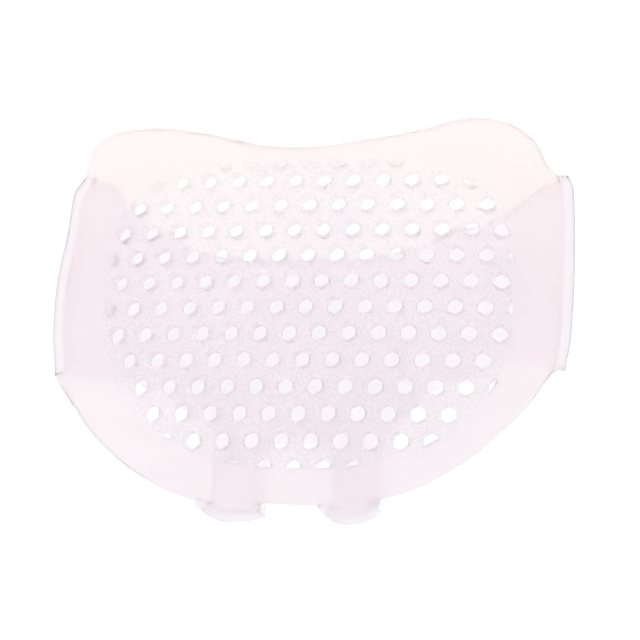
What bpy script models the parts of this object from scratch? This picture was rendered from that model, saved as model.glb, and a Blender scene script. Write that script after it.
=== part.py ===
"""Metatarsal pad sleeve: one soft gel moulding that is worn round the ball of the foot.

The sleeve lies sole side up. +X runs across the foot, +Y points to the heel and +Z up through the
sole pad. The origin is on the floor, under the middle of the sleeve. A cushion pad with a pierced
honeycomb field lies on top, flows round a fold on each side into the thin instep band below it,
and two toe straps curl from the pad's front edge down to the band's front edge.

The middle surface of the wall is lofted over a closed girth, with the straps bridged onto it.
Solidify gives the wall its thickness, Bevel rounds the rims and a Boolean cuts the honeycomb.
"""

import math
from collections import namedtuple

import bmesh
import bpy
from mathutils import Vector

MM = 0.001

# Overall form
SLEEVE_WIDTH = 112.5 * MM
SLEEVE_HEIGHT = 16.0 * MM
REAR_REACH = 43.3 * MM
FRONT_REACH = 41.0 * MM
SADDLE_RADIUS = 200.0 * MM
FOLD_HEIGHT = 5.6 * MM
FOLD_DEPTH = 7.0 * MM
FOLD_LEAD = 0.7 * MM
CROWN_POWER = 2.4

# Walls
PAD_WALL = 3.5 * MM
PAD_RIM_WALL = 2.5 * MM
RIM_TAPER = 5.0 * MM
FOLD_WALL = 2.4 * MM
BAND_WALL = 1.8 * MM
RIM_ROUND = 0.6 * MM
RIM_SEGMENTS = 2

# Toe straps, whose centres are shares of the half width
STRAP_CENTRES = (-0.269, 0.207)
STRAP_WIDTHS = (11.9 * MM, 10.3 * MM)
STRAP_FLARE = 1.5 * MM
STRAP_REACH = 2.3 * MM
STRAP_EDGE_REACH = 0.4 * MM
STRAP_TIP_POWER = 2.8
STRAP_FLARE_TURN = math.radians(60)

# Honeycomb field
CELL_PITCH = 6.27 * MM
CELL_ROW_STEP = 5.66 * MM
CELL_OPENING = 3.4 * MM
FIELD_CENTRE = (0.6 * MM, 0.0 * MM)
FIELD_REAR_POWER = 3.7
FIELD_FRONT_POWER = 2.3
SIDE_BORDER = 12.75 * MM
REAR_BORDER = 10.1 * MM
FRONT_BORDER = 7.8 * MM
CELL_PHASE = (-2.25 * MM, 6.5 * MM)
CELL_BOW_RADIUS = 450.0 * MM

# Mesh fineness
COLUMN_STEP = 3.2 * MM
STRAP_COLUMN_STEP = 2.2 * MM
PAD_FOLD_STEPS = 5
BAND_FOLD_STEPS = 4
STRAP_TURN_STEPS = 8

# Turn angle round the girth in degrees (0 right fold, 90 pad, 180 left fold, 270 band),
# the rear edge as a share of REAR_REACH, and the front edge as a share of FRONT_REACH
Edge = namedtuple("Edge", "turn rear front")
EDGE_ROWS = (
    Edge(0, 0.715, 0.270),
    Edge(11, 0.702, 0.283),
    Edge(15, 0.700, 0.312),
    Edge(19, 0.752, 0.352),
    Edge(26, 0.868, 0.460),
    Edge(39, 0.975, 0.635),
    Edge(52, 0.990, 0.800),
    Edge(66, 0.918, 0.930),
    Edge(80, 0.872, 0.985),
    Edge(91, 0.845, 0.985),
    Edge(102, 0.862, 0.975),
    Edge(114, 0.922, 0.968),
    Edge(128, 0.972, 0.855),
    Edge(143, 0.972, 0.672),
    Edge(158, 0.940, 0.455),
    Edge(168, 0.885, 0.350),
    Edge(180, 0.765, 0.280),
    Edge(208, 0.725, 0.288),
    Edge(220, 0.573, 0.302),
    Edge(232, 0.473, 0.360),
    Edge(243, 0.375, 0.500),
    Edge(256, 0.330, 0.630),
    Edge(268, 0.328, 0.630),
    Edge(280, 0.333, 0.640),
    Edge(289, 0.370, 0.570),
    Edge(296, 0.405, 0.400),
    Edge(303, 0.476, 0.320),
    Edge(312, 0.508, 0.260),
    Edge(323, 0.600, 0.213),
    Edge(334, 0.690, 0.206),
    Edge(360, 0.715, 0.270),
)

# Place along the sleeve (share of FRONT_REACH below 0, of REAR_REACH above 0), and how far the
# left and the right fold stand out there as shares of the half width
Fold = namedtuple("Fold", "along left right")
FOLD_ROWS = (
    Fold(-1.00, 0.970, 0.950),
    Fold(-0.27, 0.985, 0.970),
    Fold(-0.10, 1.000, 0.990),
    Fold(0.18, 1.000, 1.000),
    Fold(0.46, 0.970, 1.000),
    Fold(0.66, 0.954, 0.992),
    Fold(0.72, 0.922, 0.972),
    Fold(0.80, 0.908, 0.968),
    Fold(1.00, 0.914, 0.985),
)

# A strap's flat run: share of the way from the turn to the band, and share of the flare there
Run = namedtuple("Run", "share flare")
STRAP_RUN_ROWS = (
    Run(0.35, 0.0),
    Run(0.70, 0.08),
    Run(0.88, 0.35),
)

# Rows of the loft from the front edge to the rear edge
LOFT_ROWS = (0.0, 0.055, 0.16, 0.30, 0.43, 0.57, 0.70, 0.84, 0.945, 1.0)

# Sizes that follow from the ones above
HALF_WIDTH = (SLEEVE_WIDTH - FOLD_WALL) / 2
CROWN = SLEEVE_HEIGHT - PAD_WALL / 2
FLOOR = BAND_WALL / 2
BAND_FLAT = 1 - FOLD_DEPTH / HALF_WIDTH
PAD_FOLD_START = BAND_FLAT - FOLD_LEAD / HALF_WIDTH
FIELD_HALF_WIDTH = SLEEVE_WIDTH / 2 - SIDE_BORDER
FIELD_REAR = REAR_REACH - REAR_BORDER
FIELD_FRONT = FRONT_REACH - FRONT_BORDER


def clear_scene():
    """Remove the objects that the start file holds."""
    for thing in list(bpy.data.objects):
        bpy.data.objects.remove(thing, do_unlink=True)


def add_collection(name):
    collection = bpy.data.collections.new(name)
    bpy.context.scene.collection.children.link(collection)
    return collection


def smooth_between(rows, at):
    """Read every value column of a table at a place, on smooth curves through its rows."""
    last = len(rows) - 1
    low = 0
    while low < last - 1 and rows[low + 1][0] <= at:
        low += 1
    start, end = rows[low], rows[low + 1]
    before, after = rows[max(low - 1, 0)], rows[min(low + 2, last)]
    span = end[0] - start[0]
    t = min(max((at - start[0]) / span, 0.0), 1.0)
    values = []
    for column in range(1, len(start)):
        slope_in = (end[column] - before[column]) / (end[0] - before[0]) * span
        slope_out = (after[column] - start[column]) / (after[0] - start[0]) * span
        rise = end[column] - start[column]
        bend = t * (1 - t) * ((1 - t) * (slope_in - rise) - t * (slope_out - rise))
        values.append(start[column] + rise * t + bend)
    return values


def fold_share(across, y):
    """How far the section reaches sideways at y, as a share of the half width."""
    along = y / REAR_REACH if y > 0 else y / FRONT_REACH
    left, right = smooth_between(FOLD_ROWS, along)
    return left + (right - left) * (across + 1) / 2


def pad_height(across, y):
    """Height of the pad's middle surface, for a place across as a share of the half width."""
    crown = CROWN - y * y / (2 * SADDLE_RADIUS)
    arch = (1 - min(abs(across), 1.0) ** CROWN_POWER) ** (1 / CROWN_POWER)
    return FOLD_HEIGHT + (crown - FOLD_HEIGHT) * arch


def band_height(across):
    """Height of the band's middle surface: flat, then turning up into the fold."""
    into_fold = (abs(across) - BAND_FLAT) / (1 - BAND_FLAT)
    if into_fold <= 0:
        return FLOOR
    lift = 1 - math.sqrt(max(1 - into_fold ** 2, 0.0))
    return FLOOR + (FOLD_HEIGHT - FLOOR) * lift


def strap_spans():
    """The roots of the toe straps with their flares, from left to right."""
    spans = []
    for centre, width in zip(STRAP_CENTRES, STRAP_WIDTHS):
        reach = width / 2 + STRAP_FLARE
        spans.append((centre * HALF_WIDTH - reach, centre * HALF_WIDTH + reach))
    return spans


def shared_columns():
    """Places across that the pad and the band share, and the strap roots' first and last one."""
    breaks = [-PAD_FOLD_START * HALF_WIDTH]
    for span in strap_spans():
        breaks.extend(span)
    breaks.append(PAD_FOLD_START * HALF_WIDTH)
    columns = [breaks[0] / HALF_WIDTH]
    marks = [0]
    for part, (start, end) in enumerate(zip(breaks, breaks[1:])):
        fineness = STRAP_COLUMN_STEP if part % 2 else COLUMN_STEP
        steps = max(round((end - start) / fineness), 1)
        for step in range(1, steps + 1):
            columns.append((start + (end - start) * step / steps) / HALF_WIDTH)
        marks.append(len(columns) - 1)
    roots = [(marks[1 + 2 * i], marks[2 + 2 * i]) for i in range(len(STRAP_CENTRES))]
    return columns, roots


def pad_fold_columns():
    """Places across on the pad's side of a fold, from the shared columns to the fold line."""
    start = math.asin(PAD_FOLD_START ** (CROWN_POWER / 2))
    turn = (math.pi / 2 - start) / PAD_FOLD_STEPS
    angles = [start + turn * step for step in range(1, PAD_FOLD_STEPS + 1)]
    return [math.sin(angle) ** (2 / CROWN_POWER) for angle in angles]


def band_fold_columns():
    """Places across on the band's side of a fold, from the fold line back to the flat."""
    turns = [math.pi / 2 * step / BAND_FOLD_STEPS for step in range(BAND_FOLD_STEPS - 1, -1, -1)]
    return [BAND_FLAT + (1 - BAND_FLAT) * math.sin(turn) for turn in turns]


def girth_stations():
    """Stations round the girth as (on the pad, place across), from the left over the pad."""
    columns, roots = shared_columns()
    near_fold, below_fold = pad_fold_columns(), band_fold_columns()
    pad = [(True, across) for across in columns]
    right = [(True, across) for across in near_fold] + [(False, across) for across in below_fold]
    band = [(False, across) for across in reversed(columns)]
    left = [(False, -across) for across in reversed(below_fold)]
    left += [(True, -across) for across in reversed(near_fold)]
    return pad + right + band + left, roots, len(columns), len(right)


def station_edges(on_pad, across):
    """Front and rear y of the sleeve at a station."""
    turn = math.degrees(math.acos(max(-1.0, min(1.0, across))))
    rear, front = smooth_between(EDGE_ROWS, turn if on_pad else 360 - turn)
    return -front * FRONT_REACH, rear * REAR_REACH


def wall_at(on_pad, across, rim_distance):
    """Wall thickness at a station, thinner towards the pad's rims and over the folds."""
    if not on_pad:
        rise = max(abs(across) - BAND_FLAT, 0.0) / (1 - BAND_FLAT)
        return BAND_WALL + (FOLD_WALL - BAND_WALL) * rise
    side = max(abs(across) - PAD_FOLD_START, 0.0) / (1 - PAD_FOLD_START)
    inner = min(rim_distance / RIM_TAPER, 1.0)
    pad = PAD_RIM_WALL + (PAD_WALL - PAD_RIM_WALL) * math.sin(inner * math.pi / 2)
    return pad + (FOLD_WALL - pad) * side


def add_point(mesh, walls, place, wall):
    vert = mesh.verts.new(place)
    walls.append(wall)
    return vert


def build_girth(mesh, walls):
    """Loft the closed girth; returns its columns of vertices, the strap roots and the pairing."""
    stations, roots, shared, turn = girth_stations()
    grid = []
    for on_pad, across in stations:
        front, rear = station_edges(on_pad, across)
        column = []
        for row in LOFT_ROWS:
            y = front + (rear - front) * row
            x = across * HALF_WIDTH * fold_share(across, y)
            z = pad_height(across, y) if on_pad else band_height(across)
            rim_distance = min(y - front, rear - y)
            column.append(add_point(mesh, walls, (x, y, z), wall_at(on_pad, across, rim_distance)))
        grid.append(column)
    for column, following in zip(grid, grid[1:] + grid[:1]):
        for row in range(len(LOFT_ROWS) - 1):
            mesh.faces.new((column[row], following[row], following[row + 1], column[row + 1]))
    pairs = [2 * shared + turn - 1 - index for index in range(shared)]
    return grid, roots, pairs


def strap_rows(top, low):
    """Rows of a strap from the pad's edge to the band's: y, bulge, z and share of the flare."""
    height, drop = (top.z + low.z) / 2, (top.z - low.z) / 2
    rows = []
    for step in range(1, STRAP_TURN_STEPS + 1):
        angle = math.pi * step / STRAP_TURN_STEPS
        flare = max(1 - angle / STRAP_FLARE_TURN, 0.0) ** 2
        rows.append((top.y, math.sin(angle), height + drop * math.cos(angle), flare))
    for run in STRAP_RUN_ROWS:
        rows.append((top.y + (low.y - top.y) * run.share, 0.0, low.z, run.flare))
    return rows


def build_strap(mesh, walls, grid, root, pairs):
    """Bridge one toe strap from the pad's front edge round and under to the band's front edge."""
    first, last = root
    previous = None
    middle = (first + last) / 2
    for index in range(first, last + 1):
        top, low = grid[index][0], grid[pairs[index]][0]
        side = (index - middle) / (last - middle)
        reach = STRAP_REACH + (STRAP_EDGE_REACH - STRAP_REACH) * abs(side) ** STRAP_TIP_POWER
        column = [top]
        rows = strap_rows(top.co, low.co)
        for number, (y, bulge, z, flared) in enumerate(rows, start=1):
            share = number / (len(rows) + 1)
            x = top.co.x + (low.co.x - top.co.x) * share
            x -= STRAP_FLARE * side * (1 - flared)
            column.append(add_point(mesh, walls, (x, y - reach * bulge, z), BAND_WALL))
        column.append(low)
        if previous:
            for row in range(len(column) - 1):
                mesh.faces.new((previous[row], previous[row + 1], column[row + 1], column[row]))
        previous = column


def middle_surface(name, collection):
    """The open middle surface of the whole moulding, with its wall thickness in a group."""
    mesh, walls = bmesh.new(), []
    grid, roots, pairs = build_girth(mesh, walls)
    for root in roots:
        build_strap(mesh, walls, grid, root, pairs)
    bmesh.ops.recalc_face_normals(mesh, faces=mesh.faces)
    data = bpy.data.meshes.new(name)
    mesh.to_mesh(data)
    mesh.free()
    body = bpy.data.objects.new(name, data)
    collection.objects.link(body)
    group = body.vertex_groups.new(name="wall")
    for index, wall in enumerate(walls):
        group.add([index], wall / PAD_WALL, "REPLACE")
    return body


def inside_field(x, y):
    """Whether a place lies inside the honeycomb field's rounded outline."""
    along = y - FIELD_CENTRE[1]
    reach, power = (FIELD_REAR, FIELD_REAR_POWER) if along > 0 else (FIELD_FRONT, FIELD_FRONT_POWER)
    across = abs(x - FIELD_CENTRE[0]) / FIELD_HALF_WIDTH
    return across ** power + (abs(along) / reach) ** power < 1


def cell_corners(x, y):
    """Corners of a cell's opening, with one corner towards the heel."""
    radius = CELL_OPENING / 2 / math.cos(math.pi / 6)
    angles = [math.pi / 6 + math.pi / 3 * corner for corner in range(6)]
    return [(x + radius * math.cos(angle), y + radius * math.sin(angle)) for angle in angles]


def cell_centres():
    """Centres of the cells whose whole opening lies inside the field."""
    rows = math.ceil((FIELD_REAR + FIELD_FRONT) / CELL_ROW_STEP)
    columns = math.ceil(2 * FIELD_HALF_WIDTH / CELL_PITCH)
    centres = []
    for row in range(-rows, rows + 1):
        y = CELL_PHASE[1] + row * CELL_ROW_STEP
        bow = (y - CELL_PHASE[1]) ** 2 / (2 * CELL_BOW_RADIUS)
        for column in range(-columns, columns + 1):
            x = CELL_PHASE[0] + (column + 0.5 * (row % 2)) * CELL_PITCH - bow
            if all(inside_field(*corner) for corner in cell_corners(x, y)):
                centres.append((x, y))
    return centres


def pad_point(x, y):
    """The point of the pad's middle surface above x, y."""
    across = x / HALF_WIDTH
    for _ in range(4):
        across = x / HALF_WIDTH / fold_share(across, y)
    return Vector((x, y, pad_height(across, y)))


def pad_normal(x, y):
    step = 0.5 * MM
    along_x = pad_point(x + step, y) - pad_point(x - step, y)
    along_y = pad_point(x, y + step) - pad_point(x, y - step)
    return along_x.cross(along_y).normalized()


def honeycomb_pins(collection):
    """Hexagonal mould pins, square to the pad's surface, as one hidden cutter."""
    mesh = bmesh.new()
    radius = CELL_OPENING / 2 / math.cos(math.pi / 6)
    for x, y in cell_centres():
        turn = Vector((0, 0, 1)).rotation_difference(pad_normal(x, y)).to_matrix()
        pin = bmesh.ops.create_cone(mesh, cap_ends=True, segments=6, radius1=radius,
                                    radius2=radius, depth=2 * PAD_WALL)
        bmesh.ops.rotate(mesh, verts=pin["verts"], cent=(0, 0, 0), matrix=turn)
        bmesh.ops.translate(mesh, verts=pin["verts"], vec=pad_point(x, y))
    data = bpy.data.meshes.new("honeycomb_pins")
    mesh.to_mesh(data)
    mesh.free()
    pins = bpy.data.objects.new("honeycomb_pins", data)
    pins.hide_render = True
    pins.display_type = "WIRE"
    collection.objects.link(pins)
    return pins


def gel_material():
    material = bpy.data.materials.new("soft_gel")
    material.use_nodes = True
    shader = material.node_tree.nodes["Principled BSDF"]
    shader.inputs["Base Color"].default_value = (0.93, 0.87, 0.90, 1.0)
    shader.inputs["Roughness"].default_value = 0.42
    shader.inputs["Metallic"].default_value = 0.0
    return material


def build_sleeve(collection, cutters):
    """The whole moulding: wall, rounded rims and honeycomb."""
    sleeve = middle_surface("gel_pad_sleeve", collection)
    wall = sleeve.modifiers.new("Wall", "SOLIDIFY")
    wall.thickness = PAD_WALL
    wall.offset = 0.0
    wall.use_even_offset = True
    wall.vertex_group = "wall"
    rims = sleeve.modifiers.new("Rims", "BEVEL")
    rims.width = RIM_ROUND
    rims.segments = RIM_SEGMENTS
    rims.limit_method = "ANGLE"
    rims.angle_limit = math.radians(55)
    holes = sleeve.modifiers.new("Honeycomb", "BOOLEAN")
    holes.operation = "DIFFERENCE"
    holes.solver = "EXACT"
    holes.object = honeycomb_pins(cutters)
    sleeve.data.materials.append(gel_material())
    sleeve.data.shade_smooth()
    return sleeve


def main():
    clear_scene()
    collection = add_collection("metatarsal_pad")
    cutters = add_collection("cutters")
    build_sleeve(collection, cutters)


main()
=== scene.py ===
import math
from collections import namedtuple

import bmesh
import bpy
from bpy.props import FloatProperty, FloatVectorProperty, IntProperty, PointerProperty, StringProperty
from mathutils import Matrix, Vector


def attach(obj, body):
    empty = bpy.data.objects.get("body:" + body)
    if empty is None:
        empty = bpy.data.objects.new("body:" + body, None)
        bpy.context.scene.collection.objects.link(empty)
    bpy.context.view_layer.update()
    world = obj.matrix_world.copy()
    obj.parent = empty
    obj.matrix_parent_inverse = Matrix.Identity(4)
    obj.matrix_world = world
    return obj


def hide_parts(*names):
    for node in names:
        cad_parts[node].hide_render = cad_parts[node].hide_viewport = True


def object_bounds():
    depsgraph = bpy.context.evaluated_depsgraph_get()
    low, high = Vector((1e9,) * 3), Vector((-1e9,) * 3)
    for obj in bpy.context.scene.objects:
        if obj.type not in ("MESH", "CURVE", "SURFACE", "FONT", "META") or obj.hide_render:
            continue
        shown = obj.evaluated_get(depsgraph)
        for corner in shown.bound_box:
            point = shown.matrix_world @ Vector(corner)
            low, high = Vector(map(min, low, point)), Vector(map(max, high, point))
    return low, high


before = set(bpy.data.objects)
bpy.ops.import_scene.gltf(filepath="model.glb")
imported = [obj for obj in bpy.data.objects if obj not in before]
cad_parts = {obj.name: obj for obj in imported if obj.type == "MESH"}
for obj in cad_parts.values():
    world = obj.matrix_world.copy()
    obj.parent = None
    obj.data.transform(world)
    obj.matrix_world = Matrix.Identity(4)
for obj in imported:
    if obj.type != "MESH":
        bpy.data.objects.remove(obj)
CAD_LOW, CAD_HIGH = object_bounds()

bl_info = {
    "name": "Metatarsal Gel Pad",
    "version": (1, 0, 0),
    "blender": (4, 5, 0),
    "location": "3D View > Sidebar > Gel Pad",
    "description": "Builds a moulded gel forefoot sleeve with a pierced honeycomb pad",
    "category": "Add Mesh",
}

# One moulding of soft gel that is worn round the ball of the foot and lies with its pad up: +X runs
# across the foot and +Y to the heel. The middle surface of the wall is lofted over a closed girth,
# the toe straps are bridged onto it, and mould pins cut the honeycomb.

NODE = "gel_pad_sleeve"
MM = 0.001

# Turn angle round the girth in degrees (0 right fold, 90 pad, 180 left fold, 270 band),
# the rear edge as a share of the rear reach, and the front edge as a share of the front reach
Edge = namedtuple("Edge", "turn rear front")
EDGE_ROWS = (
    Edge(0, 0.715, 0.270),
    Edge(11, 0.702, 0.283),
    Edge(15, 0.700, 0.312),
    Edge(19, 0.752, 0.352),
    Edge(26, 0.868, 0.460),
    Edge(39, 0.975, 0.635),
    Edge(52, 0.990, 0.800),
    Edge(66, 0.918, 0.930),
    Edge(80, 0.872, 0.985),
    Edge(91, 0.845, 0.985),
    Edge(102, 0.862, 0.975),
    Edge(114, 0.922, 0.968),
    Edge(128, 0.972, 0.855),
    Edge(143, 0.972, 0.672),
    Edge(158, 0.940, 0.455),
    Edge(168, 0.885, 0.350),
    Edge(180, 0.765, 0.280),
    Edge(208, 0.725, 0.288),
    Edge(220, 0.573, 0.302),
    Edge(232, 0.473, 0.360),
    Edge(243, 0.375, 0.500),
    Edge(256, 0.330, 0.630),
    Edge(268, 0.328, 0.630),
    Edge(280, 0.333, 0.640),
    Edge(289, 0.370, 0.570),
    Edge(296, 0.405, 0.400),
    Edge(303, 0.476, 0.320),
    Edge(312, 0.508, 0.260),
    Edge(323, 0.600, 0.213),
    Edge(334, 0.690, 0.206),
    Edge(360, 0.715, 0.270),
)

# Place along the sleeve (share of the front reach below 0, of the rear reach above 0), and how
# far the left and the right fold stand out there as shares of the half width
Fold = namedtuple("Fold", "along left right")
FOLD_ROWS = (
    Fold(-1.00, 0.970, 0.950),
    Fold(-0.27, 0.985, 0.970),
    Fold(-0.10, 1.000, 0.990),
    Fold(0.18, 1.000, 1.000),
    Fold(0.46, 0.970, 1.000),
    Fold(0.66, 0.954, 0.992),
    Fold(0.72, 0.922, 0.972),
    Fold(0.80, 0.908, 0.968),
    Fold(1.00, 0.914, 0.985),
)

# A toe strap: its centre as a share of the half width, and its width in metres
Strap = namedtuple("Strap", "centre width")
STRAPS = (
    Strap(-0.269, 11.9 * MM),
    Strap(0.207, 10.3 * MM),
)

# A strap's flat run: share of the way from the turn to the band, and share of the flare there
Run = namedtuple("Run", "share flare")
STRAP_RUN_ROWS = (
    Run(0.12, 0.0),
    Run(0.30, 0.0),
    Run(0.48, 0.0),
    Run(0.62, 0.03),
    Run(0.74, 0.10),
    Run(0.84, 0.24),
    Run(0.92, 0.50),
)

# The part of a strap's turn over which its root narrows
STRAP_FLARE_TURN = math.radians(60)

# How far a cell's lip turns outwards, and the mesh steps in a lip, a rim and a cell's corner
LIP_TURN = math.radians(70)
LIP_STEPS = 4
RIM_STEPS = 4
CORNER_STEPS = 2

# A cell counts as whole above this share. A clipped one keeps its corners' radius small enough to
# leave this much of its area inside them, and the radius shrinks by this factor until it does.
WHOLE_SHARE = 0.999
CLIPPED_CORE = 0.5
CORNER_SHRINK = 0.8

# Rounds that close in on a place across, because the fold's reach there depends on it
FOLD_ROUNDS = 4

# Attributes of a mould pin's point: its foot, its way out of the pad, and its sideways slant
PIN_FOOT, PIN_WAY, PIN_SLANT = "pin_foot", "pin_way", "pin_slant"

# Where the grain fades out at the field's outline, which is at 1, and the noise values that give
# the colour between the grains and the grains' own
GRAIN_EDGE = (0.98, 1.10)
GRAIN_SPAN = (0.25, 0.50)

# How far the colour moves from the heel-side tint to the darker toe-side colour between the middle and
# the toes: painted shade, darker towards the toes
TOE_PAINTED_SHADE = 0.5

# How far red, green and blue light travel in the gel, as shares of the scatter length
SCATTER_SHARES = (1.0, 0.85, 0.9)
WHITE = "#FFFFFF"

MATH = "ShaderNodeMath"

# The sockets of a Mix node that mixes two colours
MIX_SHARE, MIX_FIRST, MIX_SECOND, MIX_RESULT = 0, 6, 7, 2


def linear(code):
    """A colour for a node, from an sRGB hex value."""
    channels = [int(code[place:place + 2], 16) / 255 for place in (1, 3, 5)]
    return [c / 12.92 if c <= 0.04045 else ((c + 0.055) / 1.055) ** 2.4 for c in channels] + [1.0]


def size_property(name, description, default, least=0.0):
    """A length in metres, or a place where the least value is below 0."""
    return FloatProperty(name=name, description=description, default=default, min=least,
                         unit="LENGTH", subtype="DISTANCE", precision=5)


class GelPadSizes(bpy.types.PropertyGroup):
    """Sizes of the moulding."""
    width: size_property("Width", "Width across the two folds", 112.5 * MM)
    height: size_property("Height", "Height of the pad's crown over the floor", 16.0 * MM)
    rear_reach: size_property("Rear reach", "From the middle to the heel-side lobe", 43.3 * MM)
    front_reach: size_property("Front reach", "From the middle to the front edge", 41.0 * MM)
    saddle_radius: size_property("Saddle radius", "Radius of the pad's bend along the foot", 0.2)
    fold_height: size_property("Fold height", "Height of the folds' outermost line", 5.6 * MM)
    fold_depth: size_property("Fold depth", "Width over which the band turns up", 7.0 * MM)
    fold_lead: size_property("Fold lead", "Flat run before the band turns up", 0.7 * MM)
    pad_wall: size_property("Pad wall", "Gel thickness of the pad", 3.5 * MM)
    rim_wall: size_property("Rim wall", "Gel thickness at the pad's rims", 2.5 * MM)
    rim_taper: size_property("Rim taper", "Width over which the pad thins to its rims", 5.0 * MM)
    fold_wall: size_property("Fold wall", "Gel thickness at the folds", 2.4 * MM)
    band_wall: size_property("Band wall", "Gel thickness of the band and the straps", 1.8 * MM)
    rim_round: size_property("Rim round", "Radius of the rounded rims", 0.35 * MM)
    strap_flare: size_property("Strap flare", "Widening of a strap at its roots", 1.5 * MM)
    strap_reach: size_property("Strap reach", "Bulge of a strap past the pad's edge", 2.3 * MM)
    strap_edge_reach: size_property("Strap edge reach", "The same at the strap's sides", 0.9 * MM)
    strap_tip_power: FloatProperty(name="Strap tip power", default=2.8,
                                   description="Roundness of a strap's tip from side to side")
    crown_power: FloatProperty(name="Crown power", default=2.4,
                               description="Fullness of the pad's arch from fold to fold")
    column_step: size_property("Column step", "Mesh fineness across the sleeve", 1.5 * MM)
    strap_step: size_property("Strap step", "Mesh fineness across a strap", 1.0 * MM)
    rows: IntProperty(name="Rows", description="Mesh rows from front to rear", default=56)
    fold_steps: IntProperty(name="Fold steps", description="Mesh columns in a fold", default=12)
    strap_turn_steps: IntProperty(name="Strap turn steps", default=18,
                                  description="Mesh rows in a strap's turn")


class GelPadHoneycomb(bpy.types.PropertyGroup):
    """Sizes of the pierced field."""
    pitch: size_property("Pitch", "Distance between cells in a row", 6.27 * MM)
    row_step: size_property("Row step", "Distance between rows", 5.66 * MM)
    opening: size_property("Opening", "Width of a cell across its flats", 3.4 * MM)
    corner: size_property("Corner", "Radius of a cell's corners", 0.8 * MM)
    lip: size_property("Lip", "Radius of a cell's rounded edge", 0.4 * MM)
    overshoot: size_property("Overshoot", "How far a pin stands out of the gel", 0.35 * MM)
    lean: FloatProperty(name="Lean", default=0.5, subtype="FACTOR",
                        description="How far the cells lean from upright to square to the pad")
    start_x: size_property("Start x", "Place of the first cell", -2.25 * MM, least=-1.0)
    start_y: size_property("Start y", "Place of the first row", 6.5 * MM, least=-1.0)
    bow_radius: size_property("Bow radius", "Radius on which the rows shift sideways", 0.45)
    field_x: size_property("Field x", "Middle of the field", 0.6 * MM, least=-1.0)
    half_width: size_property("Half width", "Half width of the field", 43.5 * MM)
    rear: size_property("Rear", "Reach of the field towards the heel", 33.2 * MM)
    front: size_property("Front", "Reach of the field towards the toes", 33.2 * MM)
    border_row: size_property("Border row", "From here to the heel side the rows close up", 30.0 * MM)
    border_shift: size_property("Border shift", "How far the last heel-side row closes up", 1.1 * MM)
    rear_power: FloatProperty(name="Rear power", default=3.7,
                              description="Squareness of the field's heel side")
    front_power: FloatProperty(name="Front power", default=2.3,
                               description="Squareness of the field's toe side")
    least_share: FloatProperty(name="Least share", default=0.10, subtype="FACTOR",
                               description="Smallest part of a clipped cell that is pierced")


class GelPadLook(bpy.types.PropertyGroup):
    """Colours and surface of the gel."""
    # The toe-side colour is darker than the heel-side tint as painted shade, and the random drift also
    # moves between the two
    tint: StringProperty(name="Tint", description="Colour of the pad, heel side", default="#FBF2F1")
    toe_shade_and_drift: StringProperty(name="Shade", description="The same, toe side", default="#F4EDEF")
    thin: StringProperty(name="Thin", description="Colour of the thin band", default="#FDFAFC")
    depth: StringProperty(name="Depth", description="Colour that deep gel takes", default="#F2EFFF")
    density: FloatProperty(name="Density", default=40.0, description="Tint per metre of deep gel")
    clearness: FloatProperty(name="Clearness", default=0.88, subtype="FACTOR",
                             description="Share of the light that goes through")
    refraction: FloatProperty(name="IOR", default=1.1, description="How far the gel bends light")
    # Inner light is a painted glow: a faint emission in place of light that bounces on inside the milky
    # gel
    painted_glow: FloatProperty(name="Inner light", default=0.014,
                               description="Light that the milky gel passes on inside")
    roughness: FloatProperty(name="Roughness", default=0.3, subtype="FACTOR",
                             description="Roughness of the smooth border")
    field_roughness: FloatProperty(name="Field roughness", default=0.3, subtype="FACTOR",
                                   description="Roughness of the grained field")
    # The real grain is too fine to show in the render, so it is drawn coarser
    grain: size_property("Grain", "Width of a grain, coarser than real so that it shows", 0.55 * MM)
    grain_depth: size_property("Grain depth", "Height of the grain", 0.05 * MM)
    grain_tint: StringProperty(name="Grain tint", description="Colour of the grains", default="#FDF5F4")
    speck: StringProperty(name="Speck", description="Colour between the grains", default="#EDE8EC")
    # Painted shade: the grained field darkens towards the toes
    painted_toe_darkening: FloatProperty(name="Darkening", default=0.2, subtype="FACTOR",
                             description="How much the field darkens towards the toes")
    drift: size_property("Drift", "Width over which the gel's colour drifts", 24.0 * MM)
    scatter: size_property("Scatter", "How far light travels in the gel", 2.5 * MM)


class GelPadStage(bpy.types.PropertyGroup):
    """Floor, light and camera."""
    floor: StringProperty(name="Floor", description="Colour of the floor", default="#707070")
    glow: FloatProperty(name="Glow", default=0.87, description="Light that shines up through the floor")
    ambient: FloatProperty(name="Ambient", default=1.0, description="Light from all round")
    floor_size: size_property("Floor size", "Width of the floor", 4.0)
    floor_gap: size_property("Floor gap", "Between the sleeve and the floor", 0.05 * MM)
    key: FloatProperty(name="Key", default=1.2, description="Power of the key light in watts")
    key_way: FloatVectorProperty(name="Key way", description="Direction to the key light",
                                 default=(-0.35, 0.45, 1.0))
    fill: FloatProperty(name="Fill", default=1.2, description="Power of the fill light in watts")
    fill_way: FloatVectorProperty(name="Fill way", description="Direction to the fill light",
                                  default=(0.15, -1.0, 0.45))
    lamp_size: size_property("Lamp size", "Width of each light", 0.5)
    lamp_distance: size_property("Lamp distance", "From the middle to each light", 0.9)
    distance: size_property("Distance", "From the camera to the object", 0.45)
    picture_width: size_property("Picture width", "Width in view at the object", 135.4 * MM)
    target: FloatVectorProperty(name="Target", description="Point at the picture's middle",
                                default=(3.05 * MM, -0.8 * MM, 9.0 * MM), unit="LENGTH", precision=5)
    view_way: FloatVectorProperty(name="View way", description="Direction to the camera",
                                  default=(0.19, -0.25, 1.0))
    roll: FloatProperty(name="Roll", description="Turn of the camera about its view",
                        default=math.radians(2.3), unit="ROTATION", subtype="ANGLE")


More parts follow.
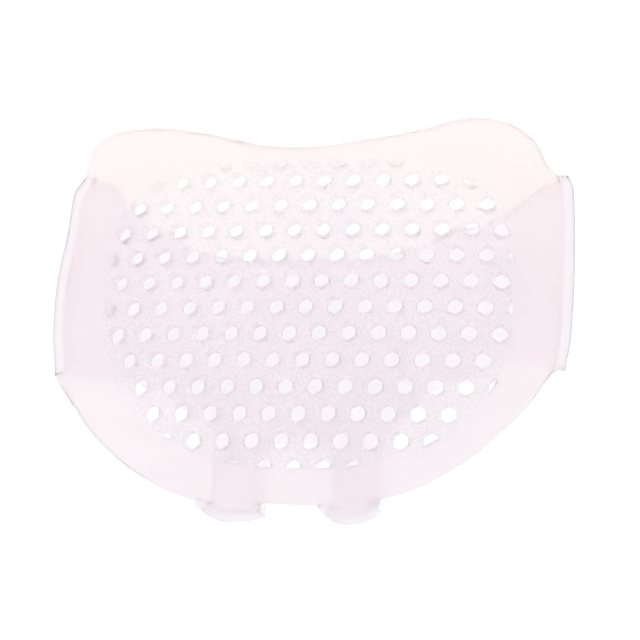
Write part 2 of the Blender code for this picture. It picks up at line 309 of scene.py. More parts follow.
def smooth_between(rows, at):
    """Read every value column of a table at a place, on smooth curves through its rows."""
    last = len(rows) - 1
    low = 0
    while low < last - 1 and rows[low + 1][0] <= at:
        low += 1
    start, end = rows[low], rows[low + 1]
    before, after = rows[max(low - 1, 0)], rows[min(low + 2, last)]
    span = end[0] - start[0]
    t = min(max((at - start[0]) / span, 0.0), 1.0)
    values = []
    for column in range(1, len(start)):
        slope_in = (end[column] - before[column]) / (end[0] - before[0]) * span
        slope_out = (after[column] - start[column]) / (after[0] - start[0]) * span
        rise = end[column] - start[column]
        bend = t * (1 - t) * ((1 - t) * (slope_in - rise) - t * (slope_out - rise))
        values.append(start[column] + rise * t + bend)
    return values


class Form:
    """The moulding's middle surface, worked out from its sizes."""

    def __init__(self, sizes):
        self.sizes = sizes
        self.half_width = (sizes.width - sizes.fold_wall) / 2
        self.crown = sizes.height - sizes.pad_wall / 2
        self.floor = sizes.band_wall / 2
        self.band_flat = 1 - sizes.fold_depth / self.half_width
        self.fold_start = self.band_flat - sizes.fold_lead / self.half_width

    def fold_share(self, across, y):
        """How far the section reaches sideways at y, as a share of the half width."""
        along = y / self.sizes.rear_reach if y > 0 else y / self.sizes.front_reach
        left, right = smooth_between(FOLD_ROWS, along)
        return left + (right - left) * (across + 1) / 2

    def pad_height(self, across, y):
        """An arch from fold to fold, which falls off towards the toes and the heel."""
        power, fold = self.sizes.crown_power, self.sizes.fold_height
        crown = self.crown - y * y / (2 * self.sizes.saddle_radius)
        arch = (1 - min(abs(across), 1.0) ** power) ** (1 / power)
        return fold + (crown - fold) * arch

    def band_height(self, across):
        """Flat in the middle, then turning up into the fold."""
        into_fold = (abs(across) - self.band_flat) / (1 - self.band_flat)
        if into_fold <= 0:
            return self.floor
        lift = 1 - math.sqrt(max(1 - into_fold ** 2, 0.0))
        return self.floor + (self.sizes.fold_height - self.floor) * lift

    def edges(self, on_pad, across):
        """Front and rear y of the sleeve at a station of the girth."""
        turn = math.degrees(math.acos(max(-1.0, min(1.0, across))))
        rear, front = smooth_between(EDGE_ROWS, turn if on_pad else 360 - turn)
        return -front * self.sizes.front_reach, rear * self.sizes.rear_reach

    def point(self, on_pad, across, y):
        """A point of the middle surface."""
        height = self.pad_height(across, y) if on_pad else self.band_height(across)
        return Vector((across * self.half_width * self.fold_share(across, y), y, height))

    def wall(self, on_pad, across, rim_distance):
        """Gel thickness, thinner towards the pad's rims and over the folds."""
        sizes = self.sizes
        if not on_pad:
            rise = max(abs(across) - self.band_flat, 0.0) / (1 - self.band_flat)
            band = sizes.band_wall + (sizes.fold_wall - sizes.band_wall) * rise
            return self.rounded(band, rim_distance)
        side = max(abs(across) - self.fold_start, 0.0) / (1 - self.fold_start)
        inner = math.sin(min(rim_distance / sizes.rim_taper, 1.0) * math.pi / 2)
        pad = sizes.rim_wall + (sizes.pad_wall - sizes.rim_wall) * inner
        return self.rounded(pad + (sizes.fold_wall - pad) * side, rim_distance)

    def rounded(self, wall, rim_distance):
        """A gel thickness, less what the rounding of a rim takes off on both faces."""
        radius = self.sizes.rim_round
        short = max(radius - rim_distance, 0.0)
        return wall - 2 * (radius - math.sqrt(radius ** 2 - short ** 2))

    def above(self, x, y):
        """The point of the pad's middle surface over x, y."""
        across = x / self.half_width
        for _ in range(FOLD_ROUNDS):
            across = x / self.half_width / self.fold_share(across, y)
        return Vector((x, y, self.pad_height(across, y)))

    def normal(self, x, y):
        """The way out of the pad over x, y."""
        step = 0.5 * MM
        along_x = self.above(x + step, y) - self.above(x - step, y)
        along_y = self.above(x, y + step) - self.above(x, y - step)
        return along_x.cross(along_y).normalized()


def graded(start, end, reach, steps):
    """Even places from start to end, and closer ones near both, where the rims are rounded."""
    near = [reach * (1 - math.cos(math.pi / 2 * step / RIM_STEPS)) for step in range(RIM_STEPS)]
    inner = end - start - 2 * reach
    middle = [start + reach + inner * step / steps for step in range(steps + 1)]
    return [start + place for place in near] + middle + [end - place for place in near[::-1]]


def slanted(way, lean):
    """What a pin's ring moves aside for each metre along the pad's normal."""
    axis = Vector((0, 0, 1)).lerp(way, lean)
    return axis / axis.dot(way) - way


def shared_columns(form):
    """Places across that the pad and the band share, and the strap roots' first and last one."""
    breaks = [-form.fold_start]
    for strap in STRAPS:
        reach = (strap.width / 2 + form.sizes.strap_flare) / form.half_width
        breaks.extend((strap.centre - reach, strap.centre + reach))
    breaks.append(form.fold_start)
    columns, marks = [breaks[0]], [0]
    for stretch, (start, end) in enumerate(zip(breaks, breaks[1:])):
        in_root = stretch % 2
        fineness = form.sizes.strap_step if in_root else form.sizes.column_step
        reach = form.sizes.rim_round / form.half_width if in_root else 0.0
        steps = max(round((end - start - 2 * reach) * form.half_width / fineness), 1)
        even = [start + (end - start) * step / steps for step in range(steps + 1)]
        columns.extend((graded(start, end, reach, steps) if in_root else even)[1:])
        marks.append(len(columns) - 1)
    roots = [(marks[1 + 2 * i], marks[2 + 2 * i]) for i in range(len(STRAPS))]
    return columns, roots


def fold_columns(form):
    """Places across from the pad to the fold line, and from there back to the band's flat."""
    steps, power = form.sizes.fold_steps, form.sizes.crown_power
    start = math.asin(form.fold_start ** (power / 2))
    turn = (math.pi / 2 - start) / steps
    pad = [math.sin(start + turn * step) ** (2 / power) for step in range(1, steps + 1)]
    flat, rise = form.band_flat, 1 - form.band_flat
    band = [flat + rise * math.sin(math.pi / 2 * step / steps) for step in range(steps - 1, -1, -1)]
    return pad, band


def root_distance(form, across):
    """How far inside a strap's root a place across is, or 0 beside the roots."""
    inside = [(strap.width / 2 + form.sizes.strap_flare) - abs(across - strap.centre) * form.half_width
              for strap in STRAPS]
    return max(*inside, 0.0)


def build_girth(mesh, walls, form):
    """Loft the closed girth; returns its grid, columns, strap roots and partner columns."""
    columns, roots = shared_columns(form)
    pad_fold, band_fold = fold_columns(form)
    stations = [(True, across) for across in columns + pad_fold]
    stations += [(False, across) for across in band_fold + columns[::-1]]
    stations += [(False, -across) for across in band_fold[::-1]]
    stations += [(True, -across) for across in pad_fold[::-1]]
    grid = []
    for on_pad, across in stations:
        front, rear = form.edges(on_pad, across)
        into_root = root_distance(form, across)
        column = []
        for y in graded(front, rear, form.sizes.rim_round, form.sizes.rows):
            rim_distance = min(math.hypot(y - front, into_root), rear - y)
            walls.append(form.wall(on_pad, across, rim_distance))
            column.append(mesh.verts.new(form.point(on_pad, across, y)))
        grid.append(column)
    for column, following in zip(grid, grid[1:] + grid[:1]):
        for row in range(len(column) - 1):
            mesh.faces.new((column[row], following[row], following[row + 1], column[row + 1]))
    last = 2 * len(columns) + len(pad_fold) + len(band_fold) - 1
    return grid, columns, roots, [last - index for index in range(len(columns))]


def strap_rows(form, top, low):
    """Rows of a strap from the pad's edge to the band's: y, bulge, z and share of the flare."""
    height, drop = (top.z + low.z) / 2, (top.z - low.z) / 2
    rows = []
    for step in range(1, form.sizes.strap_turn_steps + 1):
        angle = math.pi * step / form.sizes.strap_turn_steps
        flare = max(1 - angle / STRAP_FLARE_TURN, 0.0) ** 2
        rows.append((top.y, math.sin(angle), height + drop * math.cos(angle), flare))
    for run in STRAP_RUN_ROWS:
        rows.append((top.y + (low.y - top.y) * run.share, 0.0, low.z, run.flare))
    return rows


def build_strap(mesh, walls, form, grid, columns, root, partners):
    """Bridge one toe strap from the pad's front edge round and under to the band's front edge."""
    sizes, (first, last) = form.sizes, root
    middle, previous = (columns[first] + columns[last]) / 2, None
    for index in range(first, last + 1):
        top, low = grid[index][0], grid[partners[index]][0]
        side = (columns[index] - middle) / (columns[last] - middle)
        fall = (sizes.strap_edge_reach - sizes.strap_reach) * abs(side) ** sizes.strap_tip_power
        rows = strap_rows(form, top.co, low.co)
        into_strap = root_distance(form, columns[index])
        column = [top]
        for number, (y, bulge, z, flared) in enumerate(rows, start=1):
            x = top.co.x + (low.co.x - top.co.x) * number / (len(rows) + 1)
            x -= sizes.strap_flare * side * (1 - flared)
            high = (z - low.co.z) / (top.co.z - low.co.z)
            wall = sizes.band_wall + (sizes.rim_wall - sizes.band_wall) * high
            walls.append(form.rounded(wall, into_strap))
            column.append(mesh.verts.new((x, y - (sizes.strap_reach + fall) * bulge, z)))
        column.append(low)
        for row in range(len(column) - 1 if previous else 0):
            mesh.faces.new((previous[row], previous[row + 1], column[row + 1], column[row]))
        previous = column


def new_object(name, mesh):
    """Turn a bmesh into an object of the scene."""
    data = bpy.data.meshes.new(name)
    mesh.to_mesh(data)
    mesh.free()
    thing = bpy.data.objects.new(name, data)
    bpy.context.scene.collection.objects.link(thing)
    return thing


def gel_wall(form):
    """The sleeve's plain wall: the middle surface with its thickness and rounded rims."""
    mesh, walls = bmesh.new(), []
    grid, columns, roots, partners = build_girth(mesh, walls, form)
    for root in roots:
        build_strap(mesh, walls, form, grid, columns, root, partners)
    bmesh.ops.recalc_face_normals(mesh, faces=mesh.faces)
    sleeve = new_object("soft_gel_sleeve", mesh)
    group = sleeve.vertex_groups.new(name="wall")
    for index, wall in enumerate(walls):
        group.add([index], wall / form.sizes.pad_wall, "REPLACE")
    thickness = sleeve.modifiers.new("Wall", "SOLIDIFY")
    thickness.thickness = form.sizes.pad_wall
    thickness.offset = 0.0
    thickness.use_even_offset = True
    thickness.vertex_group = "wall"
    return sleeve


def field_outline(field, steps=96):
    """The honeycomb field's rounded outline, anticlockwise."""
    outline = []
    for step in range(steps):
        angle = 2 * math.pi * step / steps
        rear = math.sin(angle) >= 0
        power = field.rear_power if rear else field.front_power
        reach = field.rear if rear else -field.front
        x = math.copysign(abs(math.cos(angle)) ** (2 / power), math.cos(angle))
        outline.append(Vector((field.field_x + field.half_width * x,
                               reach * abs(math.sin(angle)) ** (2 / power))))
    return outline


def cell_outline(field, x, y):
    """A cell's hexagon, with one corner towards the heel."""
    radius = field.opening / 2 / math.cos(math.pi / 6)
    angles = [math.pi / 6 + math.pi / 3 * corner for corner in range(6)]
    return [Vector((x + radius * math.cos(angle), y + radius * math.sin(angle))) for angle in angles]


def area(polygon):
    """Area of a polygon, above 0 where it runs anticlockwise."""
    return sum(a.cross(b) for a, b in zip(polygon, polygon[1:] + polygon[:1])) / 2


def kept_side(polygon, start, end):
    """The part of a convex polygon on the left of the line from start to end."""
    way, kept = end - start, []
    for a, b in zip(polygon, polygon[1:] + polygon[:1]):
        side_a, side_b = way.cross(a - start), way.cross(b - start)
        if side_a >= 0:
            kept.append(a)
        if side_a * side_b < 0:
            kept.append(a.lerp(b, side_a / (side_a - side_b)))
    return kept


def clipped(polygon, outline):
    """The part of a convex polygon that lies inside a convex outline, both anticlockwise."""
    for start, end in zip(outline, outline[1:] + outline[:1]):
        polygon = kept_side(polygon, start, end)
    return polygon


def sorted_cells(field):
    """Centres of the whole cells, and outlines of the cells that the field's edge clips."""
    outline = field_outline(field)
    rows = math.ceil((field.rear + field.front) / field.row_step)
    columns = math.ceil(2 * field.half_width / field.pitch)
    whole, partial = [], []
    for row in range(-rows, rows + 1):
        y = field.start_y + row * field.row_step
        bow = (y - field.start_y) ** 2 / (2 * field.bow_radius)
        if y > field.border_row:
            y -= field.border_shift
        for column in range(-columns, columns + 1):
            x = field.start_x + (column + 0.5 * (row % 2)) * field.pitch - bow
            cell = cell_outline(field, x, y)
            inside = clipped(cell, outline)
            share = area(inside) / area(cell) if len(inside) > 2 else 0.0
            if share > WHOLE_SHARE:
                whole.append((x, y))
            elif share > field.least_share:
                partial.append(inside)
    return whole, partial


def add_node(tree, kind, settings=None, inputs=()):
    """Add a node with its settings, and set or link its inputs, by name or in their order.

    A node that is given for an input is linked from its first output.
    """
    node = tree.nodes.new(kind)
    for name, value in (settings or {}).items():
        setattr(node, name, value)
    for name, value in inputs.items() if isinstance(inputs, dict) else enumerate(inputs):
        if isinstance(value, bpy.types.Node):
            value = value.outputs[0]
        if isinstance(value, bpy.types.NodeSocket):
            tree.links.new(value, node.inputs[name])
        else:
            node.inputs[name].default_value = value
    return node


def pin_rings(field, wall):
    """Heights and widenings of a mould pin's rings, from its foot to its head."""
    rings = []
    for step in range(LIP_STEPS + 2):
        turn = LIP_TURN * min(step, LIP_STEPS) / LIP_STEPS
        beyond = field.overshoot * max(step - LIP_STEPS, 0)
        height = wall / 2 - field.lip + field.lip * math.sin(turn) + beyond
        rings.append((height, field.lip * (1 - math.cos(turn)) + beyond * math.tan(LIP_TURN)))
    return [(-height, spread) for height, spread in reversed(rings)] + rings


def pin_tree():
    """Geometry Nodes that stand a hexagonal mould pin with rounded lips on each point."""
    tree = bpy.data.node_groups.new("Mould pins", "GeometryNodeTree")
    for name, kind in (("Points", "Geometry"), ("Opening", "Float"), ("Corner", "Float"),
                       ("Lip", "Float"), ("Wall", "Float"), ("Overshoot", "Float"),
                       ("Material", "Material")):
        tree.interface.new_socket(name, in_out="INPUT", socket_type="NodeSocket" + kind)
    tree.interface.new_socket("Geometry", in_out="OUTPUT", socket_type="NodeSocketGeometry")
    given = add_node(tree, "NodeGroupInput").outputs

    apothem = add_node(tree, MATH, {"operation": "MULTIPLY"}, (given["Opening"], 0.5))
    radius = add_node(tree, MATH, {"operation": "DIVIDE"}, (apothem, math.cos(math.pi / 6)))
    circle = add_node(tree, "GeometryNodeCurvePrimitiveCircle", {"mode": "RADIUS"},
                      {"Resolution": 6, "Radius": radius})
    hexagon = add_node(tree, "GeometryNodeTransform", None,
                       {"Geometry": circle, "Rotation": (0, 0, math.pi / 6)})
    profile = add_node(tree, "GeometryNodeFilletCurve", {"mode": "POLY"},
                       {"Curve": hexagon, "Count": CORNER_STEPS, "Radius": given["Corner"]})

    rings = 2 * (LIP_STEPS + 2)
    line = add_node(tree, "GeometryNodeCurvePrimitiveLine", None, {"End": (0, 0, 1)})
    path = add_node(tree, "GeometryNodeResampleCurve", {"mode": "COUNT"}, {"Curve": line, "Count": rings})
    index = add_node(tree, "GeometryNodeInputIndex")
    from_middle = add_node(tree, MATH, {"operation": "SUBTRACT"}, (index, (rings - 1) / 2))
    rings_out = add_node(tree, MATH, {"operation": "ABSOLUTE"}, (from_middle,))
    ring = add_node(tree, MATH, {"operation": "SUBTRACT"}, (rings_out, 0.5))
    in_lip = add_node(tree, MATH, {"operation": "MINIMUM"}, (ring, LIP_STEPS))
    turn = add_node(tree, MATH, {"operation": "MULTIPLY"}, (in_lip, LIP_TURN / LIP_STEPS))
    past_lip = add_node(tree, MATH, {"operation": "SUBTRACT"}, (ring, in_lip))
    beyond = add_node(tree, MATH, {"operation": "MULTIPLY"}, (past_lip, given["Overshoot"]))

    half_wall = add_node(tree, MATH, {"operation": "MULTIPLY"}, (given["Wall"], 0.5))
    straight = add_node(tree, MATH, {"operation": "SUBTRACT"}, (half_wall, given["Lip"]))
    sine = add_node(tree, MATH, {"operation": "SINE"}, (turn,))
    lip_rise = add_node(tree, MATH, {"operation": "MULTIPLY"}, (given["Lip"], sine))
    rise = add_node(tree, MATH, {"operation": "ADD"}, (straight, lip_rise))
    reach = add_node(tree, MATH, {"operation": "ADD"}, (rise, beyond))
    sign = add_node(tree, MATH, {"operation": "SIGN"}, (from_middle,))
    height = add_node(tree, MATH, {"operation": "MULTIPLY"}, (reach, sign))
    place = add_node(tree, "ShaderNodeCombineXYZ", None, {"Z": height})
    spine = add_node(tree, "GeometryNodeSetPosition", None, {"Geometry": path, "Position": place})

    cosine = add_node(tree, MATH, {"operation": "COSINE"}, (turn,))
    fall = add_node(tree, MATH, {"operation": "SUBTRACT"}, (1.0, cosine))
    curl = add_node(tree, MATH, {"operation": "MULTIPLY"}, (given["Lip"], fall))
    flare = add_node(tree, MATH, {"operation": "MULTIPLY"}, (beyond, math.tan(LIP_TURN)))
    spread = add_node(tree, MATH, {"operation": "ADD"}, (curl, flare))
    widening = add_node(tree, MATH, {"operation": "DIVIDE"}, (spread, apothem))
    scale = add_node(tree, MATH, {"operation": "ADD"}, (widening, 1.0))
    pin = add_node(tree, "GeometryNodeCurveToMesh", None,
                   {"Curve": spine, "Profile Curve": profile, "Scale": scale, "Fill Caps": True})

    foot, way, slant = (
        add_node(tree, "GeometryNodeInputNamedAttribute", {"data_type": "FLOAT_VECTOR"}, {"Name": name})
        for name in (PIN_FOOT, PIN_WAY, PIN_SLANT))
    turned = add_node(tree, "FunctionNodeAlignRotationToVector", {"axis": "Z"}, {"Vector": way})
    pins = add_node(tree, "GeometryNodeInstanceOnPoints", None,
                    {"Points": given["Points"], "Instance": pin, "Rotation": turned})
    real = add_node(tree, "GeometryNodeRealizeInstances", None, {"Geometry": pins})
    here = add_node(tree, "GeometryNodeInputPosition")
    risen = add_node(tree, "ShaderNodeVectorMath", {"operation": "SUBTRACT"}, (here, foot))
    along = add_node(tree, "ShaderNodeVectorMath", {"operation": "DOT_PRODUCT"}, (risen, way))
    aside = add_node(tree, "ShaderNodeVectorMath", {"operation": "SCALE"},
                     {"Vector": slant, "Scale": along.outputs["Value"]})
    leaning = add_node(tree, "GeometryNodeSetPosition", None, {"Geometry": real, "Offset": aside})
    gel = add_node(tree, "GeometryNodeSetMaterial", None,
                   {"Geometry": leaning, "Material": given["Material"]})
    add_node(tree, "NodeGroupOutput", None, {"Geometry": gel})
    return tree


def plain_mesh(thing):
    """The evaluated mesh of an object, which then leaves the scene."""
    evaluated = thing.evaluated_get(bpy.context.evaluated_depsgraph_get())
    data = bpy.data.meshes.new_from_object(evaluated)
    bpy.data.objects.remove(thing)
    return data


def whole_pins(form, field, cells, gel):
    """Mesh of the mould pins of the whole cells."""
    mesh = bmesh.new()
    layers = [mesh.verts.layers.float_vector.new(name) for name in (PIN_FOOT, PIN_WAY, PIN_SLANT)]
    for x, y in cells:
        foot, way = form.above(x, y), form.normal(x, y)
        point = mesh.verts.new(foot)
        for layer, value in zip(layers, (foot, way, slanted(way, field.lean))):
            point[layer] = value
    points = new_object("pin_places", mesh)
    tree = pin_tree()
    pins = points.modifiers.new("Pins", "NODES")
    pins.node_group = tree
    values = {"Opening": field.opening, "Corner": field.corner, "Lip": field.lip,
              "Wall": form.sizes.pad_wall, "Overshoot": field.overshoot, "Material": gel}
    for socket in tree.interface.items_tree:
        if socket.in_out == "INPUT" and socket.name in values:
            pins[socket.identifier] = values[socket.name]
    return plain_mesh(points)


def inset(polygon, depth):
    """A convex polygon moved inwards by a depth, or nothing where it is too narrow."""
    moved = polygon
    for start, end in zip(polygon, polygon[1:] + polygon[:1]):
        way = (end - start).normalized()
        shift = Vector((-way.y, way.x)) * depth
        moved = kept_side(moved, start + shift, end + shift)
    return moved


def rounded_ring(core, reach):
    """Points at a distance all round a convex core, with an arc at each corner."""
    ring = []
    count = len(core)
    for index, corner in enumerate(core):
        arriving, leaving = corner - core[index - 1], core[(index + 1) % count] - corner
        start = math.atan2(arriving.y, arriving.x) - math.pi / 2
        bend = math.atan2(arriving.cross(leaving), arriving.dot(leaving))
        for step in range(CORNER_STEPS + 1):
            angle = start + bend * step / CORNER_STEPS
            ring.append(corner + reach * Vector((math.cos(angle), math.sin(angle))))
    return ring


def add_clipped_pin(mesh, form, field, outline):
    """Add the mould pin of one cell that the field's edge clips."""
    corner = field.corner
    core = inset(outline, corner)
    while len(core) < 3 or area(core) < CLIPPED_CORE * area(outline):
        corner *= CORNER_SHRINK
        core = inset(outline, corner)
    middle = sum(outline, Vector((0, 0))) / len(outline)
    foot, way = form.above(*middle), form.normal(*middle)
    turn = Vector((0, 0, 1)).rotation_difference(way).to_matrix()
    axis = way + slanted(way, field.lean)
    rings = []
    for height, spread in pin_rings(field, form.sizes.pad_wall):
        ring = [foot + turn @ (point - middle).to_3d() + axis * height
                for point in rounded_ring(core, corner + spread)]
        rings.append([mesh.verts.new(point) for point in ring])
    for low, high in zip(rings, rings[1:]):
        for index in range(len(low)):
            mesh.faces.new((low[index - 1], low[index], high[index], high[index - 1]))
    mesh.faces.new(rings[0][::-1])
    mesh.faces.new(rings[-1])


def mould_pins(form, field, gel):
    """One object of all the mould pins, which the sleeve's pad is pierced with."""
    whole, partial = sorted_cells(field)
    mesh = bmesh.new()
    mesh.from_mesh(whole_pins(form, field, whole, gel))
    for outline in partial:
        add_clipped_pin(mesh, form, field, outline)
    pins = new_object("mould_pins", mesh)
    pins.data.materials.append(gel)
    return pins


def gel_material(look, form, field):
    """Styrene block copolymer gel, injection moulded.

    It is milky and soft to the eye: light enters, scatters and leaves again beside where it
    came in. The border left the mould smooth, and the honeycomb field has a fine grain. An index
    under the real 1.48 and a faint painted glow stand in for the many bounces that keep the
    folds and rims of such a gel pale. Painted shade darkens the colour towards the toes.
    """
    material = bpy.data.materials.new("moulded_styrene_gel")
    material.use_nodes = True
    tree = material.node_tree
    shader = tree.nodes["Principled BSDF"]

    place = add_node(tree, "ShaderNodeTexCoord").outputs["Object"]
    axes = add_node(tree, "ShaderNodeSeparateXYZ", None, (place,)).outputs
    at_rear = add_node(tree, MATH, {"operation": "GREATER_THAN"}, (axes["Y"], 0.0))
    power = add_node(tree, MATH, {"operation": "MULTIPLY_ADD"},
                     (at_rear, field.rear_power - field.front_power, field.front_power))
    reach = add_node(tree, MATH, {"operation": "MULTIPLY_ADD"},
                     (at_rear, field.rear - field.front, field.front))
    from_middle = add_node(tree, MATH, {"operation": "SUBTRACT"}, (axes["X"], field.field_x))
    aside = add_node(tree, MATH, {"operation": "ABSOLUTE"}, (from_middle,))
    across = add_node(tree, MATH, {"operation": "DIVIDE"}, (aside, field.half_width))
    ahead = add_node(tree, MATH, {"operation": "ABSOLUTE"}, (axes["Y"],))
    along = add_node(tree, MATH, {"operation": "DIVIDE"}, (ahead, reach))
    sideways = add_node(tree, MATH, {"operation": "POWER"}, (across, power))
    lengthways = add_node(tree, MATH, {"operation": "POWER"}, (along, power))
    outward = add_node(tree, MATH, {"operation": "ADD"}, (sideways, lengthways))
    inside = add_node(tree, "ShaderNodeMapRange", {"interpolation_type": "SMOOTHSTEP"},
                      {"Value": outward, "From Min": GRAIN_EDGE[1], "From Max": GRAIN_EDGE[0]})
    on_pad = add_node(tree, MATH, {"operation": "GREATER_THAN"}, (axes["Z"], form.sizes.fold_height))
    grained = add_node(tree, MATH, {"operation": "MULTIPLY"}, (inside, on_pad))

    drift = add_node(tree, "ShaderNodeTexNoise", None,
                     {"Vector": place, "Scale": 1 / look.drift, "Detail": 2.0})
    # Share of the toe-side colour: a random drift, plus painted shade that grows towards the toes
    to_toes = add_node(tree, MATH, {"operation": "MULTIPLY_ADD"},
                       (axes["Y"], -TOE_PAINTED_SHADE / form.sizes.front_reach, drift))
    smooth = add_node(tree, "ShaderNodeMix", {"data_type": "RGBA"},
                      {MIX_SHARE: to_toes, MIX_FIRST: linear(look.tint), MIX_SECOND: linear(look.toe_shade_and_drift)})
    grain = add_node(tree, "ShaderNodeTexNoise", None,
                     {"Vector": place, "Scale": 1 / look.grain, "Detail": 1.5})
    # Painted shade: the field takes more of the darker speck colour towards the toes
    tone = add_node(tree, MATH, {"operation": "MULTIPLY_ADD"}, (to_toes, -look.painted_toe_darkening, grain))
    between = add_node(tree, "ShaderNodeMapRange", None,
                       {"Value": tone, "From Min": GRAIN_SPAN[1], "From Max": GRAIN_SPAN[0]})
    rough_skin = add_node(tree, "ShaderNodeMix", {"data_type": "RGBA"},
                          {MIX_SHARE: between, MIX_FIRST: linear(look.grain_tint),
                           MIX_SECOND: linear(look.speck)})
    pad = add_node(tree, "ShaderNodeMix", {"data_type": "RGBA"},
                   {MIX_SHARE: grained, MIX_FIRST: smooth.outputs[MIX_RESULT],
                    MIX_SECOND: rough_skin.outputs[MIX_RESULT]})
    over_band = add_node(tree, "ShaderNodeMapRange", {"interpolation_type": "SMOOTHSTEP"},
                         {"Value": axes["Z"], "From Min": form.sizes.band_wall,
                          "From Max": form.sizes.fold_height})
    colour = add_node(tree, "ShaderNodeMix", {"data_type": "RGBA"},
                      {MIX_SHARE: over_band, MIX_FIRST: linear(look.thin),
                       MIX_SECOND: pad.outputs[MIX_RESULT]})
    tree.links.new(colour.outputs[MIX_RESULT], shader.inputs["Base Color"])

    rough = add_node(tree, "ShaderNodeMapRange", None,
                     {"Value": grained, "To Min": look.roughness, "To Max": look.field_roughness})
    tree.links.new(rough.outputs[0], shader.inputs["Roughness"])

    swing = add_node(tree, MATH, {"operation": "SUBTRACT"}, (grain, 0.5))
    height = add_node(tree, MATH, {"operation": "MULTIPLY"}, (swing, grained))
    bump = add_node(tree, "ShaderNodeBump", None,
                    {"Height": height, "Distance": look.grain_depth, "Strength": 1.0})
    tree.links.new(bump.outputs[0], shader.inputs["Normal"])

    shader.inputs["IOR"].default_value = look.refraction
    # A faint white painted glow, in place of the light that many bounces inside the gel would give
    shader.inputs["Emission Color"].default_value = linear(WHITE)
    shader.inputs["Emission Strength"].default_value = look.painted_glow
    shader.inputs["Transmission Weight"].default_value = look.clearness
    shader.inputs["Subsurface Weight"].default_value = 1.0
    shader.inputs["Subsurface Radius"].default_value = SCATTER_SHARES
    shader.inputs["Subsurface Scale"].default_value = look.scatter
    deep = add_node(tree, "ShaderNodeVolumeAbsorption", None,
                    {"Color": linear(look.depth), "Density": look.density})
    tree.links.new(deep.outputs[0], tree.nodes["Material Output"].inputs["Volume"])
    return material


class GELPAD_OT_sleeve(bpy.types.Operator):
    """Mould the sleeve with its pad, folds, instep band and toe straps, and pierce the pad"""
    bl_idname = "gelpad.sleeve"
    bl_label = "Gel sleeve"

    def execute(self, context):
        scene = context.scene
        form = Form(scene.gel_pad_sizes)
        field = scene.gel_pad_honeycomb
        gel = gel_material(scene.gel_pad_look, form, field)
        pins = mould_pins(form, field, gel)
        wall = gel_wall(form)
        wall.data.materials.append(gel)
        pierce = wall.modifiers.new("Honeycomb", "BOOLEAN")
        pierce.operation = "DIFFERENCE"
        pierce.solver = "EXACT"
        pierce.object = pins
        data = plain_mesh(wall)
        bpy.data.objects.remove(pins)
        data.shade_smooth()
        sleeve = bpy.data.objects.new("soft_gel_sleeve", data)
        scene.collection.objects.link(sleeve)
        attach(sleeve, "root")
        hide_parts(NODE)
        return {"FINISHED"}


class GELPAD_OT_stage(bpy.types.Operator):
    """Set up the pale floor, the soft studio light and the camera"""
    bl_idname = "gelpad.stage"
    bl_label = "Stage"

    def execute(self, context):
        stage = context.scene.gel_pad_stage
        add_floor(stage)
        add_light(context.scene, stage)
        add_camera(context.scene, stage)
        return {"FINISHED"}


def add_floor(stage):
    """A wide sheet of opal acrylic just under the sleeve.

    Most of its white is light from below, so the sleeve casts hardly any shadow on it.
    """
    mesh = bmesh.new()
    bmesh.ops.create_grid(mesh, x_segments=1, y_segments=1, size=stage.floor_size / 2)
    for vert in mesh.verts:
        vert.co.z = CAD_LOW.z - stage.floor_gap
    floor = new_object("floor", mesh)
    diffuser = bpy.data.materials.new("lit_opal_acrylic")
    diffuser.use_nodes = True
    shader = diffuser.node_tree.nodes["Principled BSDF"]
    shader.inputs["Base Color"].default_value = linear(stage.floor)
    shader.inputs["Roughness"].default_value = 0.9
    shader.inputs["Specular IOR Level"].default_value = 0.1
    shader.inputs["Emission Color"].default_value = linear(WHITE)
    shader.inputs["Emission Strength"].default_value = stage.glow
    floor.data.materials.append(diffuser)


def add_light(scene, stage):
    """Even white light from all round, a soft key over the heel side and a low soft fill."""
    world = bpy.data.worlds.new("studio")
    world.use_nodes = True
    background = world.node_tree.nodes["Background"]
    background.inputs["Color"].default_value = linear(WHITE)
    background.inputs["Strength"].default_value = stage.ambient
    scene.world = world
    for name, power, way in (("key_light", stage.key, stage.key_way),
                             ("fill_light", stage.fill, stage.fill_way)):
        lamp = bpy.data.lights.new(name, "AREA")
        lamp.shape = "DISK"
        lamp.size = stage.lamp_size
        lamp.energy = power
        light = bpy.data.objects.new(name, lamp)
        way = Vector(way).normalized()
        light.location = way * stage.lamp_distance
        light.rotation_euler = way.to_track_quat("Z", "Y").to_euler()
        scene.collection.objects.link(light)


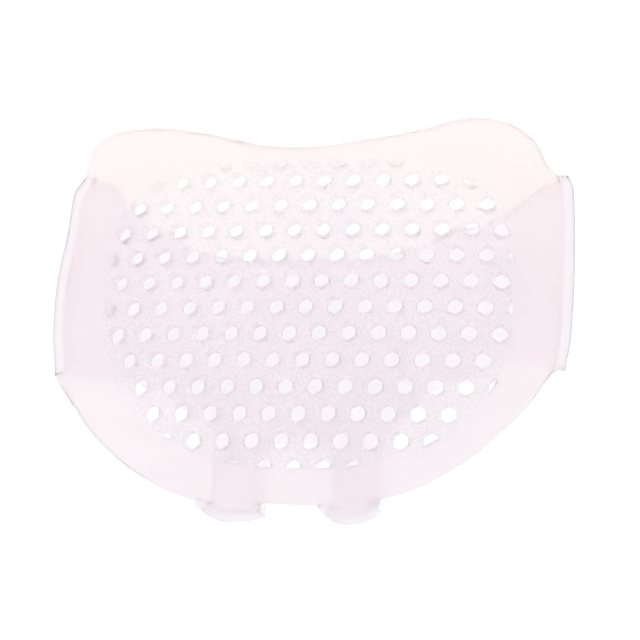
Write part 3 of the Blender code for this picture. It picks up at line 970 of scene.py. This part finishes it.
def add_camera(scene, stage):
    """The photograph's view: from above, a little from the front and the right."""
    lens = bpy.data.cameras.new("camera")
    lens.lens = lens.sensor_width * stage.distance / stage.picture_width
    lens.clip_start = 0.01
    ahead = -Vector(stage.view_way).normalized()
    right = ahead.cross(Vector((0, 1, 0))).normalized()
    up = right.cross(ahead)
    turned = Matrix((right, up, -ahead)).transposed() @ Matrix.Rotation(stage.roll, 3, "Z")
    camera = bpy.data.objects.new("camera", lens)
    camera.matrix_world = turned.to_4x4()
    camera.location = Vector(stage.target) - ahead * stage.distance
    scene.collection.objects.link(camera)
    scene.camera = camera
    scene.view_settings.view_transform = "Standard"


class GELPAD_PT_panel(bpy.types.Panel):
    """Sizes, colours and steps of the gel pad"""
    bl_idname = "GELPAD_PT_panel"
    bl_label = "Metatarsal Gel Pad"
    bl_space_type = "VIEW_3D"
    bl_region_type = "UI"
    bl_category = "Gel Pad"

    def draw(self, context):
        layout = self.layout
        for group in (GelPadSizes, GelPadHoneycomb, GelPadLook, GelPadStage):
            box = layout.box()
            box.label(text=group.__doc__)
            values = getattr(context.scene, GROUPS[group])
            for name in group.__annotations__:
                box.prop(values, name)
        for step in STEPS:
            layout.operator(step.bl_idname)


GROUPS = {
    GelPadSizes: "gel_pad_sizes",
    GelPadHoneycomb: "gel_pad_honeycomb",
    GelPadLook: "gel_pad_look",
    GelPadStage: "gel_pad_stage",
}
STEPS = (GELPAD_OT_sleeve, GELPAD_OT_stage)


def register():
    """Add the classes and their values to Blender."""
    for group, name in GROUPS.items():
        bpy.utils.register_class(group)
        setattr(bpy.types.Scene, name, PointerProperty(type=group))
    for kind in STEPS + (GELPAD_PT_panel,):
        bpy.utils.register_class(kind)


def unregister():
    """Take the classes and their values out of Blender."""
    for kind in reversed(STEPS + (GELPAD_PT_panel,)):
        bpy.utils.unregister_class(kind)
    for group, name in GROUPS.items():
        delattr(bpy.types.Scene, name)
        bpy.utils.unregister_class(group)


def main():
    """Build the sleeve and its stage."""
    register()
    bpy.ops.gelpad.sleeve()
    bpy.ops.gelpad.stage()


if __name__ == "__main__":
    main()
